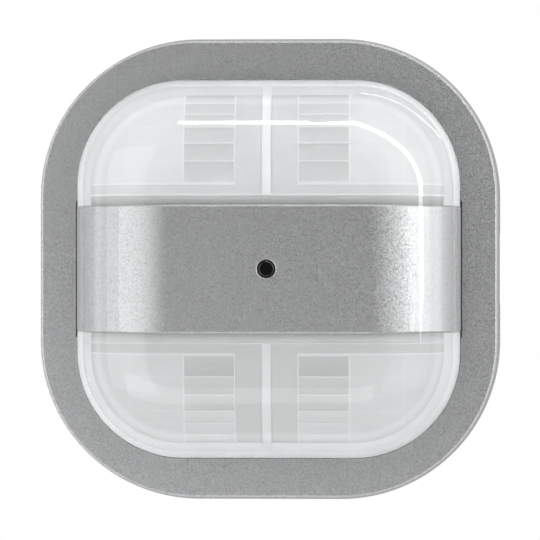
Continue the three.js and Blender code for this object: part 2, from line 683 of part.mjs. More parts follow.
function terminalBlock() {
  const { width, bottom, top, back, front, radius } = BLOCK;
  const curve = rod(radius, 20, 0, 0, back - 1, 64);
  const trimmed = block([-width / 2, bottom, back], [width / 2, top, front]).intersect(curve);
  const pocketHalf = POCKET.width / 2;
  const barHalf = BUSBAR.width / 2 + GAP;
  const tools = [];
  for (let pole = 0; pole < TERMINALS; pole++) {
    const x = poleX(pole);
    const wireHole = new THREE.CylinderGeometry(WIRE_HOLE.radius, WIRE_HOLE.radius, WIRE_HOLE.depth, 16);
    tools.push(block([x - pocketHalf, POCKET.bottom, POCKET.back], [x + pocketHalf, POCKET.top, front + 1]));
    tools.push(rod(POLE_SCREW.headRadius + RUN, POCKET.back - back + 0.5, x, POLE_Y, back - 1));
    tools.push(rod(POLE_SCREW.radius + RUN, 2, x, POLE_Y, POCKET.back - 1, 10));
    tools.push(solid(wireHole.translate(x, bottom, WIRE_HOLE.z)));
    tools.push(block([x - barHalf, POCKET.top - 1, BUSBAR.back - GAP], [x + barHalf, top + 1, front + 1]));
  }
  return piece("terminal_block", FINISH.greyPlastic, cut(trimmed, tools));
}

function terminalCage(pole) {
  const { width, height, depth, side, floor, threadWall, front } = CAGE;
  const window = box(width - 2 * side, height + 2, depth - floor - threadWall, 0, 0, threadWall);
  const thread = rod(POLE_SCREW.radius + 0.2, 4, 0, 0, -1, 12);
  const body = cut(box(width, height, depth), [window, thread]);
  return piece(`terminal_cage_${pole + 1}`, FINISH.nickel, body, poleX(pole), POLE_Y, front - depth);
}

function terminalScrew(pole) {
  const { radius, headRadius, headThick, back, tip } = POLE_SCREW;
  const shank = rod(radius, tip - back - headThick / 2, 0, 0, headThick / 2, 10);
  const body = cut(rod(headRadius, headThick, 0, 0, 0).add(shank), crossRecess(3.4, 0.8, 1, -0.2));
  return piece(`terminal_screw_${pole + 1}`, FINISH.zincSteel, body, poleX(pole), POLE_Y, back);
}

function busbar(pole) {
  const { width, thick, back, bottom, top } = BUSBAR;
  const half = width / 2;
  const bar = block([-half, bottom, 0], [half, top, thick]);
  const leg = block([-half, top - thick, 0], [half, top, PARTS_TOP - back]);
  return piece(`busbar_${pole + 1}`, FINISH.brass, bar.add(leg), poleX(pole), 0, back);
}

// ---------------------------------------------------------------- insert: spreading claws

function claw(name, side) {
  const { halfWidth, sheet, tabFront, tabInner, outer, end, screwX } = CLAW;
  const reach = CLAW_SCREW.radius + 0.2;
  const tab = block([tabInner, -halfWidth, tabFront - sheet], [outer, halfWidth, tabFront]);
  const arm = block([outer - sheet, -halfWidth, end], [outer, halfWidth, tabFront]);
  const slotLength = CLAW_TRAVEL + 2 * reach;
  const screwSlot = slot(slotLength, 2 * reach, 4, screwX - CLAW_TRAVEL / 2, 0, tabFront - 3);
  const toothGap = 1.3;
  const teeth = [-3, -1, 1, 3].map((place) => {
    const notch = new THREE.CylinderGeometry(1, 1, 4, 3).rotateZ(Math.PI / 2);
    return solid(notch.translate(outer, place * toothGap, end - 0.3));
  });
  const body = cut(tab.add(arm), [screwSlot, ...teeth]);
  const mesh = piece(name, FINISH.zincSteel, body);
  mesh.rotation.z = side > 0 ? 0 : Math.PI;
  return mesh;
}

function clawScrew(name, side) {
  const { radius, headRadius, headThick, end } = CLAW_SCREW;
  const headBack = PLATE.thick + GAP;
  const shank = rod(radius, headBack - end + 0.5, 0, 0, end - headBack, 12);
  const head = turned([
    [0, 0],
    [headRadius, 0],
    [headRadius, headThick - 0.5],
    [headRadius - 0.6, headThick],
    [0, headThick],
  ], 20);
  const body = cut(shank.add(head), crossRecess(3.4, 0.8, 2, headThick - 1.1));
  return piece(name, FINISH.zincSteel, body, side * CLAW.screwX, 0, headBack);
}

function clawNut(name, side) {
  const { size, thick } = CLAW_NUT;
  const bore = rod(CLAW_SCREW.radius + 0.15, thick + 2, 0, 0, -1, 12);
  const body = slab(size, size, 0.4, thick, 0, 0, 0, 2).subtract(bore);
  const front = CLAW.tabFront - CLAW.sheet - GAP;
  return piece(name, FINISH.zincSteel, body, side * CLAW.screwX, 0, front - thick);
}

// ---------------------------------------------------------------- assembly

const cover = new THREE.Group();
cover.add(bezelRing(), centerBand(), lens(), lightGuide(), lensRetainer());

const shells = new THREE.Group();
shells.add(supportPlate(), frontShroud(), insertHousing(), terminalBlock());
shells.add(housingScrew("housing_screw_right", 1), housingScrew("housing_screw_left", -1));

const sensing = new THREE.Group();
sensing.add(sensorBoard(), controllerChip(), switchBody(), switchKnob());
sensing.add(pirSensor("pir_sensor_upper", PIR.y), pirWindow("pir_window_upper", PIR.y));
sensing.add(pirSensor("pir_sensor_lower", -PIR.y), pirWindow("pir_window_lower", -PIR.y));
sensing.add(dotLamp("ambient_sensor", FINISH.clearResin, 0, LAMP.front));
sensing.add(dotLamp("indicator_lamp", FINISH.redResin, LAMP.x, LAMP.front));
sensing.add(trimmerBody("lux_trimmer_body", -TRIMMER.x), trimmerBody("time_trimmer_body", TRIMMER.x));
sensing.add(trimmerKnob("lux_trimmer_knob", FINISH.knobOrange, -TRIMMER.x));
sensing.add(trimmerKnob("time_trimmer_knob", FINISH.knobBlue, TRIMMER.x));

const power = new THREE.Group();
power.add(mainBoard(), pinHeader(), relay(), filmCapacitor(), electrolyticCapacitor(), choke(), varistor());
for (let pole = 0; pole < TERMINALS; pole++) {
  power.add(terminalCage(pole), terminalScrew(pole), busbar(pole));
}

const claws = new THREE.Group();
for (const [name, side] of [["left", -1], ["right", 1]]) {
  claws.add(claw(`claw_${name}`, side));
  claws.add(clawScrew(`claw_screw_${name}`, side));
  claws.add(clawNut(`claw_nut_${name}`, side));
}

// The face frame stands on its edge: its y becomes +Z and its z becomes -Y.
const faceFrame = new THREE.Group();
faceFrame.add(cover, shells, sensing, power, claws);
faceFrame.rotation.x = Math.PI / 2;

const motionSensor = new THREE.Group();
motionSensor.add(faceFrame);

export default motionSensor;
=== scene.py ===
import json
import math

import bpy
from mathutils import Matrix, Vector

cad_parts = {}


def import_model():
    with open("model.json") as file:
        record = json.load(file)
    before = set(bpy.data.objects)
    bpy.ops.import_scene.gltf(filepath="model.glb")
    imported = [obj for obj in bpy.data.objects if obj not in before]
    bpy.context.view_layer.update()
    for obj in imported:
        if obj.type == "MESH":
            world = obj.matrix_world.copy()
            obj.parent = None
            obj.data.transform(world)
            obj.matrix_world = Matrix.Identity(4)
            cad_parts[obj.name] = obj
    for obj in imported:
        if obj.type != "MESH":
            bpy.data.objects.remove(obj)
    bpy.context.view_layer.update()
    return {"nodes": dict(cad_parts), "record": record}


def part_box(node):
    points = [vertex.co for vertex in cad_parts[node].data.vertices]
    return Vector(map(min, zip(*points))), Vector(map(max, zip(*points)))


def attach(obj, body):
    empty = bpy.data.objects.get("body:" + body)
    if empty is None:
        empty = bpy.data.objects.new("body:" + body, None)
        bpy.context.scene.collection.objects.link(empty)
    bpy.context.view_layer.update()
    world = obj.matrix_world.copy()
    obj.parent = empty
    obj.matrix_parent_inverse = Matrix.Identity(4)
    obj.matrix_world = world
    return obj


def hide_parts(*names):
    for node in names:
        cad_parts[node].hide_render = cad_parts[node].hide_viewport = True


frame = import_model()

MM = 0.001
SIDES = (-1, 1)

# Sizes in millimetres, in the face frame: x to the right, y up, z out of the wall.
CORNER = {"outer": 29.0, "opening": 19.0}
DRAFT = 1.0
OPENING = (68.7, 67.8)
LENS_PLAY = 0.15
LENS_FILLET = 14.6
FACE_CHAMFER = 0.5
OPENING_CHAMFER = 0.16
COVER_WALL = 1.8
PRY_NOTCH = {"half_length": 6.45, "height": 1.3, "depth": 0.7}
BAND_WALL = 1.5
BAND_FOOT = 0.15
FOOT_LEDGE = 0.22
FOOT_ROOM = 1.1
BAND_CHAMFER = 0.32
BAND_CURVE = 17.2
EYE_CHAMFER = 0.22
SKIN_WALL = 1.6
SKIN_GAP = 0.06
RIM_DEPTH = 0.5
FLANGE = 3.6
FLANGE_BACK = 6.1
FACET_DEPTH = 0.7
BODY_DEPTH = 0.8
GUIDE_RADIUS = 1.5

CAMERA_RIGHT = 12.0
CAMERA_DISTANCE = 430.0
VIEW_WIDTH = 98.8
VIEW_LIFT = 0.18
FLOOR = {"drop": 900, "reach": 1.6, "glow": 0.25}

# The strip light's and the arc light's corners, as directions in the face frame.
STRIP_PATH = (
    (-0.15, 1.36, 1),
    (0.0, 1.36, 1),
    (0.21, 1.16, 1),
    (0.42, 1.0, 1),
    (0.72, 0.82, 1),
    (0.98, 0.72, 1),
    (1.22, 0.6, 1),
    (1.42, 0.44, 1),
    (1.57, 0.27, 1),
    (1.74, 0.07, 1),
    (1.85, -0.07, 1),
)
ARC_PATH = ((0.1, 0.95, -0.28), (0.46, 0.82, -0.33), (0.68, 0.62, -0.4), (0.72, 0.42, -0.55))


# ------------------------------------------------------------ frame and places


def at(x, y, z):
    """A point of the face frame, in millimetres, as a point of the row frame."""
    return Vector((x, -z, y)) * MM


def face_box(node):
    """A CAD node's lowest and highest corners in the face frame, in millimetres."""
    low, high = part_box(node)
    return Vector((low.x, low.z, -high.y)) / MM, Vector((high.x, high.z, -low.y)) / MM


ring_low, ring_high = face_box("bezel_ring")
band_high = face_box("center_band")[1]
lens_high = face_box("lens")[1]
HALF = ring_high.x
FRONT = ring_high.z
BACK = ring_low.z
BAND_HALF = band_high.y
BAND_TOP = band_high.z
LENS_TOP = lens_high.z
LENS_HALF = (OPENING[0] / 2 - LENS_PLAY, OPENING[1] / 2 - LENS_PLAY)
LENS_CORNER = CORNER["opening"] - LENS_PLAY
LENS_RISE = LENS_TOP - FRONT
FOOT = FRONT - COVER_WALL
BAND_REACH = LENS_HALF[0] + BAND_FOOT


# ------------------------------------------------------------ materials


def principled(name, **values):
    """A node material and its shader, with plain values on the shader's own sockets."""
    material = bpy.data.materials.new(name)
    material.use_nodes = True
    shader = material.node_tree.nodes["Principled BSDF"]
    for socket, value in values.items():
        shader.inputs[socket.replace("_", " ")].default_value = value
    return material, shader


class Graph:
    """Adds nodes to a material's tree, and reads them in the piece's own coordinates."""

    def __init__(self, material):
        self.tree = material.node_tree
        self.coordinates = self.add("ShaderNodeTexCoord").outputs["Object"]

    def add(self, kind, **settings):
        node = self.tree.nodes.new(kind)
        for key, value in settings.items():
            setattr(node, key, value)
        return node

    def link(self, source, target):
        self.tree.links.new(source, target)

    def noise(self, size, detail=3.0, stretch=(1, 1, 1)):
        """Noise with features about size millimetres across."""
        node = self.add("ShaderNodeTexNoise")
        node.inputs["Scale"].default_value = 1 / (size * MM)
        node.inputs["Detail"].default_value = detail
        self.link(self.stretched(stretch), node.inputs["Vector"])
        return node.outputs["Fac"]

    def cells(self, size):
        """A random colour for each cell about size millimetres across."""
        node = self.add("ShaderNodeTexVoronoi")
        node.inputs["Scale"].default_value = 1 / (size * MM)
        self.link(self.coordinates, node.inputs["Vector"])
        return node.outputs["Color"]

    def stretched(self, stretch):
        if tuple(stretch) == (1, 1, 1):
            return self.coordinates
        node = self.add("ShaderNodeMapping")
        node.inputs["Scale"].default_value = stretch
        self.link(self.coordinates, node.inputs["Vector"])
        return node.outputs["Vector"]

    def ramp(self, source, low, high, start=0.3, end=0.7):
        """source, spread from low at start to high at end."""
        node = self.add("ShaderNodeMapRange")
        limits = {"From Min": start, "From Max": end, "To Min": low, "To Max": high}
        for socket, value in limits.items():
            node.inputs[socket].default_value = value
        self.link(source, node.inputs["Value"])
        return node.outputs["Result"]

    def colours(self, source, low, high, start=0.3, end=0.7):
        node = self.add("ShaderNodeValToRGB")
        node.color_ramp.elements[0].position = start
        node.color_ramp.elements[0].color = (*low, 1)
        node.color_ramp.elements[1].position = end
        node.color_ramp.elements[1].color = (*high, 1)
        self.link(source, node.inputs["Fac"])
        return node.outputs["Color"]

    def bump(self, source, height, strength=1.0, under=None):
        """A bump height millimetres high."""
        node = self.add("ShaderNodeBump")
        node.inputs["Strength"].default_value = strength
        node.inputs["Distance"].default_value = height * MM
        self.link(source, node.inputs["Height"])
        if under is not None:
            self.link(under, node.inputs["Normal"])
        return node.outputs["Normal"]

    def edges(self, size):
        """1 on edges and 0 on flat faces, for edges size millimetres wide."""
        node = self.add("ShaderNodeBevel", samples=4)
        node.inputs["Radius"].default_value = size * MM
        normal = self.add("ShaderNodeNewGeometry").outputs["Normal"]
        dot = self.add("ShaderNodeVectorMath", operation="DOT_PRODUCT")
        self.link(node.outputs["Normal"], dot.inputs[0])
        self.link(normal, dot.inputs[1])
        return self.ramp(dot.outputs["Value"], 1, 0, 0.8, 0.98)


def silver_paint():
    """Aluminium-effect paint: flakes of different tone and tilt under a thin clear coat."""
    material, shader = principled(
        "silver_paint", Metallic=0.92, Coat_Weight=0.12, Coat_Roughness=0.3
    )
    graph = Graph(material)
    flakes = graph.cells(0.17)
    split = graph.add("ShaderNodeSeparateColor")
    graph.link(flakes, split.inputs["Color"])
    mottled = graph.add("ShaderNodeMath", operation="MULTIPLY_ADD")
    graph.link(graph.noise(0.45, 4), mottled.inputs[0])
    mottled.inputs[1].default_value = 0.9
    graph.link(split.outputs["Red"], mottled.inputs[2])
    dark, light = (0.36, 0.365, 0.37), (0.555, 0.56, 0.565)
    tone = graph.colours(mottled.outputs["Value"], dark, light, 0.35, 1.5)
    graph.link(tone, shader.inputs["Base Color"])
    graph.link(graph.ramp(split.outputs["Green"], 0.34, 0.44, 0, 1), shader.inputs["Roughness"])
    tilt = graph.add("ShaderNodeVectorMath", operation="MULTIPLY_ADD")
    graph.link(flakes, tilt.inputs[0])
    tilt.inputs[1].default_value = (0.1, 0.1, 0.1)
    tilt.inputs[2].default_value = (-0.05, -0.05, -0.05)
    lean = graph.add("ShaderNodeVectorMath", operation="ADD")
    graph.link(graph.add("ShaderNodeNewGeometry").outputs["Normal"], lean.inputs[0])
    graph.link(tilt.outputs["Vector"], lean.inputs[1])
    even = graph.add("ShaderNodeVectorMath", operation="NORMALIZE")
    graph.link(lean.outputs["Vector"], even.inputs[0])
    grain = graph.bump(graph.noise(0.3, 4), 0.01, 0.5, even.outputs["Vector"])
    graph.link(grain, shader.inputs["Normal"])
    return material


def lens_gloss():
    """The lens's outer skin: clear and glossy with a little milk in it. Lamps shine through it."""
    material, shader = principled(
        "lens_gloss", Base_Color=(0.95, 0.965, 0.965, 1), Transmission_Weight=0.86, IOR=1.49
    )
    graph = Graph(material)
    graph.link(graph.ramp(graph.noise(6, 2), 0.02, 0.05), shader.inputs["Roughness"])
    graph.link(graph.bump(graph.noise(14, 1), 0.01, 0.2), shader.inputs["Normal"])
    clear = graph.add("ShaderNodeBsdfTransparent")
    mix = graph.add("ShaderNodeMixShader")
    graph.link(graph.add("ShaderNodeLightPath").outputs["Is Shadow Ray"], mix.inputs["Fac"])
    graph.link(shader.outputs["BSDF"], mix.inputs[1])
    graph.link(clear.outputs["BSDF"], mix.inputs[2])
    output = material.node_tree.nodes["Material Output"]
    graph.link(mix.outputs["Shader"], output.inputs["Surface"])
    return material


def lens_milk():
    """The milky body of the lens, with each facet's tone: its own grey with painted shade, painted
    shadow and painted highlights in it.
    """
    material, shader = principled("lens_milk", Roughness=0.45, Specular_IOR_Level=0.3)
    graph = Graph(material)
    tone = graph.add("ShaderNodeAttribute", attribute_name="tone")
    cloud = graph.colours(graph.noise(5, 3), (0.965, 0.965, 0.965), (1, 1, 1))
    mix = graph.add("ShaderNodeMix", data_type="RGBA", blend_type="MULTIPLY")
    mix.inputs["Factor"].default_value = 1
    graph.link(tone.outputs["Color"], mix.inputs[6])
    graph.link(cloud, mix.inputs[7])
    graph.link(mix.outputs[2], shader.inputs["Base Color"])
    graph.link(graph.bump(graph.noise(0.5, 2), 0.01, 0.3), shader.inputs["Normal"])
    return material


def moulded(name, colour, roughness=0.5, grain=0.25, height=0.02, shade=0.06):
    """Moulded plastic with an eroded grain and paler edges."""
    material, shader = principled(name)
    graph = Graph(material)
    low = tuple(max(0.0, c * (1 - shade)) for c in colour)
    high = tuple(min(1.0, c * (1 + shade)) for c in colour)
    body = graph.colours(graph.noise(4, 4), low, high)
    mix = graph.add("ShaderNodeMix", data_type="RGBA")
    graph.link(graph.edges(0.25), mix.inputs["Factor"])
    graph.link(body, mix.inputs[6])
    mix.inputs[7].default_value = (*(min(1.0, c * 1.1 + 0.02) for c in colour), 1)
    graph.link(mix.outputs[2], shader.inputs["Base Color"])
    sheen = graph.ramp(graph.noise(1.5, 3), roughness * 0.85, min(1.0, roughness * 1.2))
    graph.link(sheen, shader.inputs["Roughness"])
    graph.link(graph.bump(graph.noise(grain, 3), height, 0.6), shader.inputs["Normal"])
    return material


def plated(name, low, high, roughness=0.3, stretch=(1, 1, 1), grain=0.6):
    """Plated or bare metal with blotches, fine scratches and bright edges."""
    material, shader = principled(name, Metallic=1.0)
    graph = Graph(material)
    body = graph.colours(graph.noise(3, 5), low, high)
    mix = graph.add("ShaderNodeMix", data_type="RGBA")
    graph.link(graph.edges(0.15), mix.inputs["Factor"])
    graph.link(body, mix.inputs[6])
    mix.inputs[7].default_value = (*(min(1.0, c * 1.15) for c in high), 1)
    graph.link(mix.outputs[2], shader.inputs["Base Color"])
    sheen = graph.ramp(graph.noise(grain, 4, stretch), roughness * 0.7, roughness * 1.5)
    graph.link(sheen, shader.inputs["Roughness"])
    graph.link(graph.bump(graph.noise(grain, 5, stretch), 0.01, 0.5), shader.inputs["Normal"])
    return material


def circuit_board():
    """Green solder resist over copper tracks."""
    material, shader = principled("circuit_board", Coat_Weight=0.3, Coat_Roughness=0.15)
    graph = Graph(material)
    tracks = graph.add("ShaderNodeTexVoronoi", distance="CHEBYCHEV", feature="F2")
    tracks.inputs["Scale"].default_value = 1 / (3.5 * MM)
    graph.link(graph.coordinates, tracks.inputs["Vector"])
    plain, over_tracks = (0.02, 0.13, 0.06), (0.035, 0.2, 0.09)
    body = graph.colours(tracks.outputs["Distance"], plain, over_tracks, 0.55, 0.6)
    graph.link(body, shader.inputs["Base Color"])
    graph.link(graph.ramp(graph.noise(1.2, 3), 0.3, 0.5), shader.inputs["Roughness"])
    graph.link(graph.bump(tracks.outputs["Distance"], 0.03, 0.5), shader.inputs["Normal"])
    return material


def resin(name, colour, transmission, roughness=0.08):
    """Cast resin or glass with faint swirls."""
    material, shader = principled(
        name, Base_Color=(*colour, 1), Transmission_Weight=transmission, IOR=1.5
    )
    graph = Graph(material)
    sheen = graph.ramp(graph.noise(0.8, 2), roughness, roughness * 2.5)
    graph.link(sheen, shader.inputs["Roughness"])
    graph.link(graph.bump(graph.noise(1.5, 2), 0.01, 0.3), shader.inputs["Normal"])
    return material


silver = silver_paint()
gloss = lens_gloss()
milk = lens_milk()
FINISHES = {
    "silver_paint": silver,
    "lens_plastic": milk,
    "tinted_plastic": moulded("tinted_plastic", (0.004, 0.004, 0.005), 0.08, 2.0, 0.002),
    "white_plastic": moulded("white_plastic", (0.78, 0.78, 0.76), 0.45),
    "grey_plastic": moulded("grey_plastic", (0.075, 0.08, 0.085), 0.55, 0.3, 0.04, 0.15),
    "black_plastic": moulded("black_plastic", (0.012, 0.012, 0.013), 0.45, 0.3, 0.02, 0.2),
    "zinc_steel": plated("zinc_steel", (0.5, 0.51, 0.53), (0.72, 0.72, 0.7), 0.28),
    "nickel": plated("nickel", (0.6, 0.57, 0.52), (0.75, 0.72, 0.67), 0.2),
    "brass": plated("brass", (0.62, 0.42, 0.16), (0.85, 0.62, 0.28), 0.25, (1, 6, 1)),
    "circuit_board": circuit_board(),
    "filter_window": resin("filter_window", (0.03, 0.035, 0.05), 0.2, 0.06),
    "clear_resin": resin("clear_resin", (0.9, 0.93, 0.95), 0.85),
    "red_resin": resin("red_resin", (0.5, 0.01, 0.01), 0.6),
    "orange_plastic": moulded("orange_plastic", (0.75, 0.32, 0.03), 0.35),
    "blue_plastic": moulded("blue_plastic", (0.02, 0.14, 0.42), 0.35),
    "blue_coating": moulded("blue_coating", (0.02, 0.1, 0.4), 0.3, 1.2, 0.08),
    "yellow_case": moulded("yellow_case", (0.62, 0.42, 0.04), 0.4),
    "dark_case": moulded("dark_case", (0.02, 0.022, 0.03), 0.35, 0.8, 0.01),
    "ferrite": plated("ferrite", (0.04, 0.035, 0.03), (0.09, 0.08, 0.07), 0.6),
}


# ------------------------------------------------------------ meshes


def make(name, points, faces, material):
    """A mesh object from points of the face frame."""
    mesh = bpy.data.meshes.new(name)
    mesh.from_pydata([at(*point) for point in points], [], faces)
    mesh.validate()
    mesh.materials.append(material)
    piece = bpy.data.objects.new(name, mesh)
    bpy.context.scene.collection.objects.link(piece)
    return piece


def shade(piece, degrees=50):
    """Smooth shading that keeps flat faces flat and leaves edges over an angle sharp."""
    piece.data.shade_smooth()
    piece.data.set_sharp_from_angle(angle=math.radians(degrees))
    weighted = piece.modifiers.new("weighted", "WEIGHTED_NORMAL")
    weighted.mode = "FACE_AREA"
    weighted.keep_sharp = True


def outline(half_width, half_height, radius, z, steps):
    """The points of a rounded rectangle at height z, the same count for any size."""
    points = []
    for corner, (sx, sy) in enumerate(((1, 1), (-1, 1), (-1, -1), (1, -1))):
        for i in range(steps + 1):
            angle = (corner + i / steps) * math.pi / 2
            x = sx * (half_width - radius) + radius * math.cos(angle)
            y = sy * (half_height - radius) + radius * math.sin(angle)
            points.append((x, y, z))
    return points


def loft(sections, closed, steps=40):
    """Points and faces of a surface through rounded rectangles. Open, its ends are capped."""
    rings = [outline(*section, steps) for section in sections]
    count = len(rings[0])
    faces = []
    for i in range(len(rings) if closed else len(rings) - 1):
        low, high = i * count, (i + 1) % len(rings) * count
        for j in range(count):
            k = (j + 1) % count
            faces.append((low + j, low + k, high + k, high + j))
    if not closed:
        faces.append(tuple(reversed(range(count))))
        faces.append(tuple(range((len(rings) - 1) * count, len(rings) * count)))
    return [point for ring in rings for point in ring], faces


def block(low, high):
    """Points and faces of a box between two corners."""
    spans = list(zip(low, high))
    points = [(x, y, z) for x in spans[0] for y in spans[1] for z in spans[2]]
    faces = [(0, 1, 3, 2), (4, 6, 7, 5), (0, 4, 5, 1), (2, 3, 7, 6), (0, 2, 6, 4), (1, 5, 7, 3)]
    return points, faces


def turned(profile, x=0.0, y=0.0, sides=64):
    """Points and faces of a piece turned about z at (x, y).

    Its profile is (radius, z) pairs that start and end on the axis.
    """
    inner = profile[1:-1]
    points = [(x, y, profile[0][1])]
    for radius, z in inner:
        for i in range(sides):
            angle = i / sides * math.tau
            points.append((x + radius * math.cos(angle), y + radius * math.sin(angle), z))
    points.append((x, y, profile[-1][1]))
    faces = []
    for j in range(sides):
        k = (j + 1) % sides
        faces.append((0, 1 + k, 1 + j))
        for i in range(len(inner) - 1):
            low, high = 1 + i * sides, 1 + (i + 1) * sides
            faces.append((low + j, low + k, high + k, high + j))
        last = 1 + (len(inner) - 1) * sides
        faces.append((last + j, last + k, len(points) - 1))
    return points, faces


def carve(piece, cutters):
    """Cuts the cutters out of the piece for good, and removes them."""
    for cutter in cutters:
        cut = piece.modifiers.new("cut", "BOOLEAN")
        cut.solver = "EXACT"
        cut.operation = "DIFFERENCE"
        cut.object = cutter
    bake(piece)
    for cutter in cutters:
        bpy.data.objects.remove(cutter)


def bake(piece):
    """Applies the piece's modifiers to its mesh."""
    bpy.context.view_layer.update()
    evaluated = piece.evaluated_get(bpy.context.evaluated_depsgraph_get())
    mesh = bpy.data.meshes.new_from_object(evaluated)
    piece.modifiers.clear()
    piece.data = mesh


def stands_for(piece, node, body):
    """Makes a piece ride on a body in place of a CAD node."""
    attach(piece, body)
    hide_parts(node)


# ------------------------------------------------------------ cover


def corner(size):
    """Offsets across a chamfered edge with softened corners, from (0, size) to (size, 0)."""
    near, far = size * 0.06, size * 0.8
    return [(0, size), (near, far), (far, near), (size, 0)]


def bezel_ring():
    """The frame of the cover, with rounded edges and notches for the band's feet and for prying."""
    outer, opening = CORNER["outer"], CORNER["opening"]
    sections = [(HALF, HALF, outer, BACK)]
    for inward, down in corner(FACE_CHAMFER):
        inset = DRAFT + inward
        sections.append((HALF - inset, HALF - inset, outer - inset, FRONT - down))
    half_width, half_height = OPENING[0] / 2, OPENING[1] / 2
    for outward, down in reversed(corner(OPENING_CHAMFER)):
        grown = (half_width + outward, half_height + outward, opening + outward)
        sections.append((*grown, FRONT - down))
    sections.append((half_width, half_height, opening, FOOT))
    lean = 0.45
    inside = HALF - DRAFT - COVER_WALL - lean
    sections.append((inside, inside, outer - DRAFT - COVER_WALL, FOOT))
    sections.append((HALF - COVER_WALL, HALF - COVER_WALL, outer - COVER_WALL, BACK))
    ring = make("bezel_ring_painted", *loft(sections, True), silver)
    cutters = []
    for side in SIDES:
        foot = side * (BAND_REACH + FOOT_LEDGE + SKIN_GAP)
        reach = BAND_HALF + FOOT_ROOM
        inner = side * (LENS_HALF[0] - 2)
        low = (min(foot, inner), -reach, FOOT - COVER_WALL)
        high = (max(foot, inner), reach, FRONT + 1)
        cutters.append(make("notch", *block(low, high), silver))
        edge, length, deep = side * HALF, PRY_NOTCH["half_length"], PRY_NOTCH["depth"]
        low = (edge - deep, -length, BACK - 0.1)
        high = (edge + deep, length, BACK + PRY_NOTCH["height"])
        cutters.append(make("pry", *block(low, high), silver))
    carve(ring, cutters)
    shade(ring)
    stands_for(ring, "bezel_ring", "cover")


def band_path(inset, foot, steps=28):
    """The side view of the band, taken in by inset, from its right foot over to its left."""
    width, rise = BAND_CURVE - inset, BAND_TOP - FRONT - inset
    centre = BAND_REACH - BAND_CURVE
    ledge = centre + width + FOOT_LEDGE
    right = [(ledge, foot), (ledge, FRONT - 0.1), (centre + width, FRONT + 0.12)]
    for i in range(1, steps + 1):
        angle = i / steps * math.pi / 2
        right.append((centre + width * math.cos(angle), FRONT + rise * math.sin(angle)))
    return right + [(-x, z) for x, z in reversed(right)]


def band_solid(name, insets, foot, material):
    """The band's arch, from (y, inset) pairs round its section."""
    points, faces = [], []
    rows = [[(x, y, z) for x, z in band_path(inset, foot)] for y, inset in insets]
    length = len(rows[0])
    for row in rows:
        points.extend(row)
    for i in range(len(rows)):
        low, high = i * length, (i + 1) % len(rows) * length
        for j in range(length - 1):
            faces.append((low + j, low + j + 1, high + j + 1, high + j))
    faces.append(tuple(i * length for i in range(len(rows))))
    faces.append(tuple(i * length + length - 1 for i in reversed(range(len(rows)))))
    return make(name, points, faces, material)


def center_band():
    """The silver band over the lens, with rounded edges and a chamfered eye."""
    edge = [(BAND_HALF - across, down) for across, down in corner(BAND_CHAMFER)]
    section = [(-BAND_HALF, BAND_WALL)]
    section += [(-y, inset) for y, inset in edge]
    section += [(y, inset) for y, inset in reversed(edge)]
    section += [(BAND_HALF, BAND_WALL)]
    band = band_solid("center_band_painted", section, FOOT, silver)
    radius, top, past = GUIDE_RADIUS + 0.08, BAND_TOP, 0.13
    rim = [
        (0, top - 5),
        (radius, top - 5),
        (radius, top - EYE_CHAMFER),
        (radius + EYE_CHAMFER + past, top + past),
        (0, top + past),
    ]
    carve(band, [make("eye", *turned(rim), silver)])
    shade(band)
    stands_for(band, "center_band", "cover")


def lens_sections(inset, steps=22, start=0, end=90):
    """Rounded rectangles up the dome, taken in by inset, between two angles of its fillet."""
    sections = []
    for i in range(steps + 1):
        angle = math.radians(start + (end - start) * i / steps)
        pull = (LENS_FILLET - inset) * (1 - math.cos(angle))
        sections.append((
            LENS_HALF[0] - inset - pull,
            LENS_HALF[1] - inset - pull,
            LENS_CORNER - inset - pull,
            FRONT + (LENS_RISE - inset) * math.sin(angle),
        ))
    return sections


def lens_skin():
    """The glossy outer skin of the lens, open behind, with a channel for the band."""
    below = FOOT - 0.1
    outside = lens_sections(-LENS_PLAY * 0.6)
    inside = lens_sections(SKIN_WALL)
    wide = tuple(size + FLANGE for size in (*LENS_HALF, LENS_CORNER))
    sections = [(*wide, FLANGE_BACK), (*wide, below), (*outside[0][:3], below)] + outside
    outer_rings = len(sections)
    sections += list(reversed(inside)) + [(*inside[0][:3], FLANGE_BACK)]
    points, faces = loft(sections, True)
    count = len(points) // len(sections)
    outer_top, inner_top = (outer_rings - 1) * count, outer_rings * count
    bridge = set(range(outer_top, outer_top + count)) | set(range(inner_top, inner_top + count))
    faces = [face for face in faces if not bridge.issuperset(face)]
    faces.append(tuple(range(outer_top, outer_top + count)))
    faces.append(tuple(reversed(range(inner_top, inner_top + count))))
    skin = make("lens_skin", points, faces, gloss)
    reach, floor, above = BAND_HALF + SKIN_GAP, BAND_WALL + SKIN_GAP, -3
    channel = [(-reach, floor), (-reach, above), (reach, above), (reach, floor)]
    carve(skin, [band_solid("channel", channel, FLANGE_BACK - 0.1, gloss)])
    shade(skin)
    return skin


def dome_height(x, y, inset):
    """The dome's height at (x, y), taken in by inset. None outside its rim."""
    half_width, half_height = LENS_HALF[0] - inset, LENS_HALF[1] - inset
    radius, fillet = LENS_CORNER - inset, LENS_FILLET - inset
    across, up = abs(x) - (half_width - radius), abs(y) - (half_height - radius)
    depth = radius - math.hypot(max(across, 0), max(up, 0)) - min(max(across, up), 0)
    if depth < 0:
        return None
    lean = max(1 - depth / fillet, 0)
    return FRONT + (LENS_RISE - inset) * math.sqrt(1 - lean * lean)
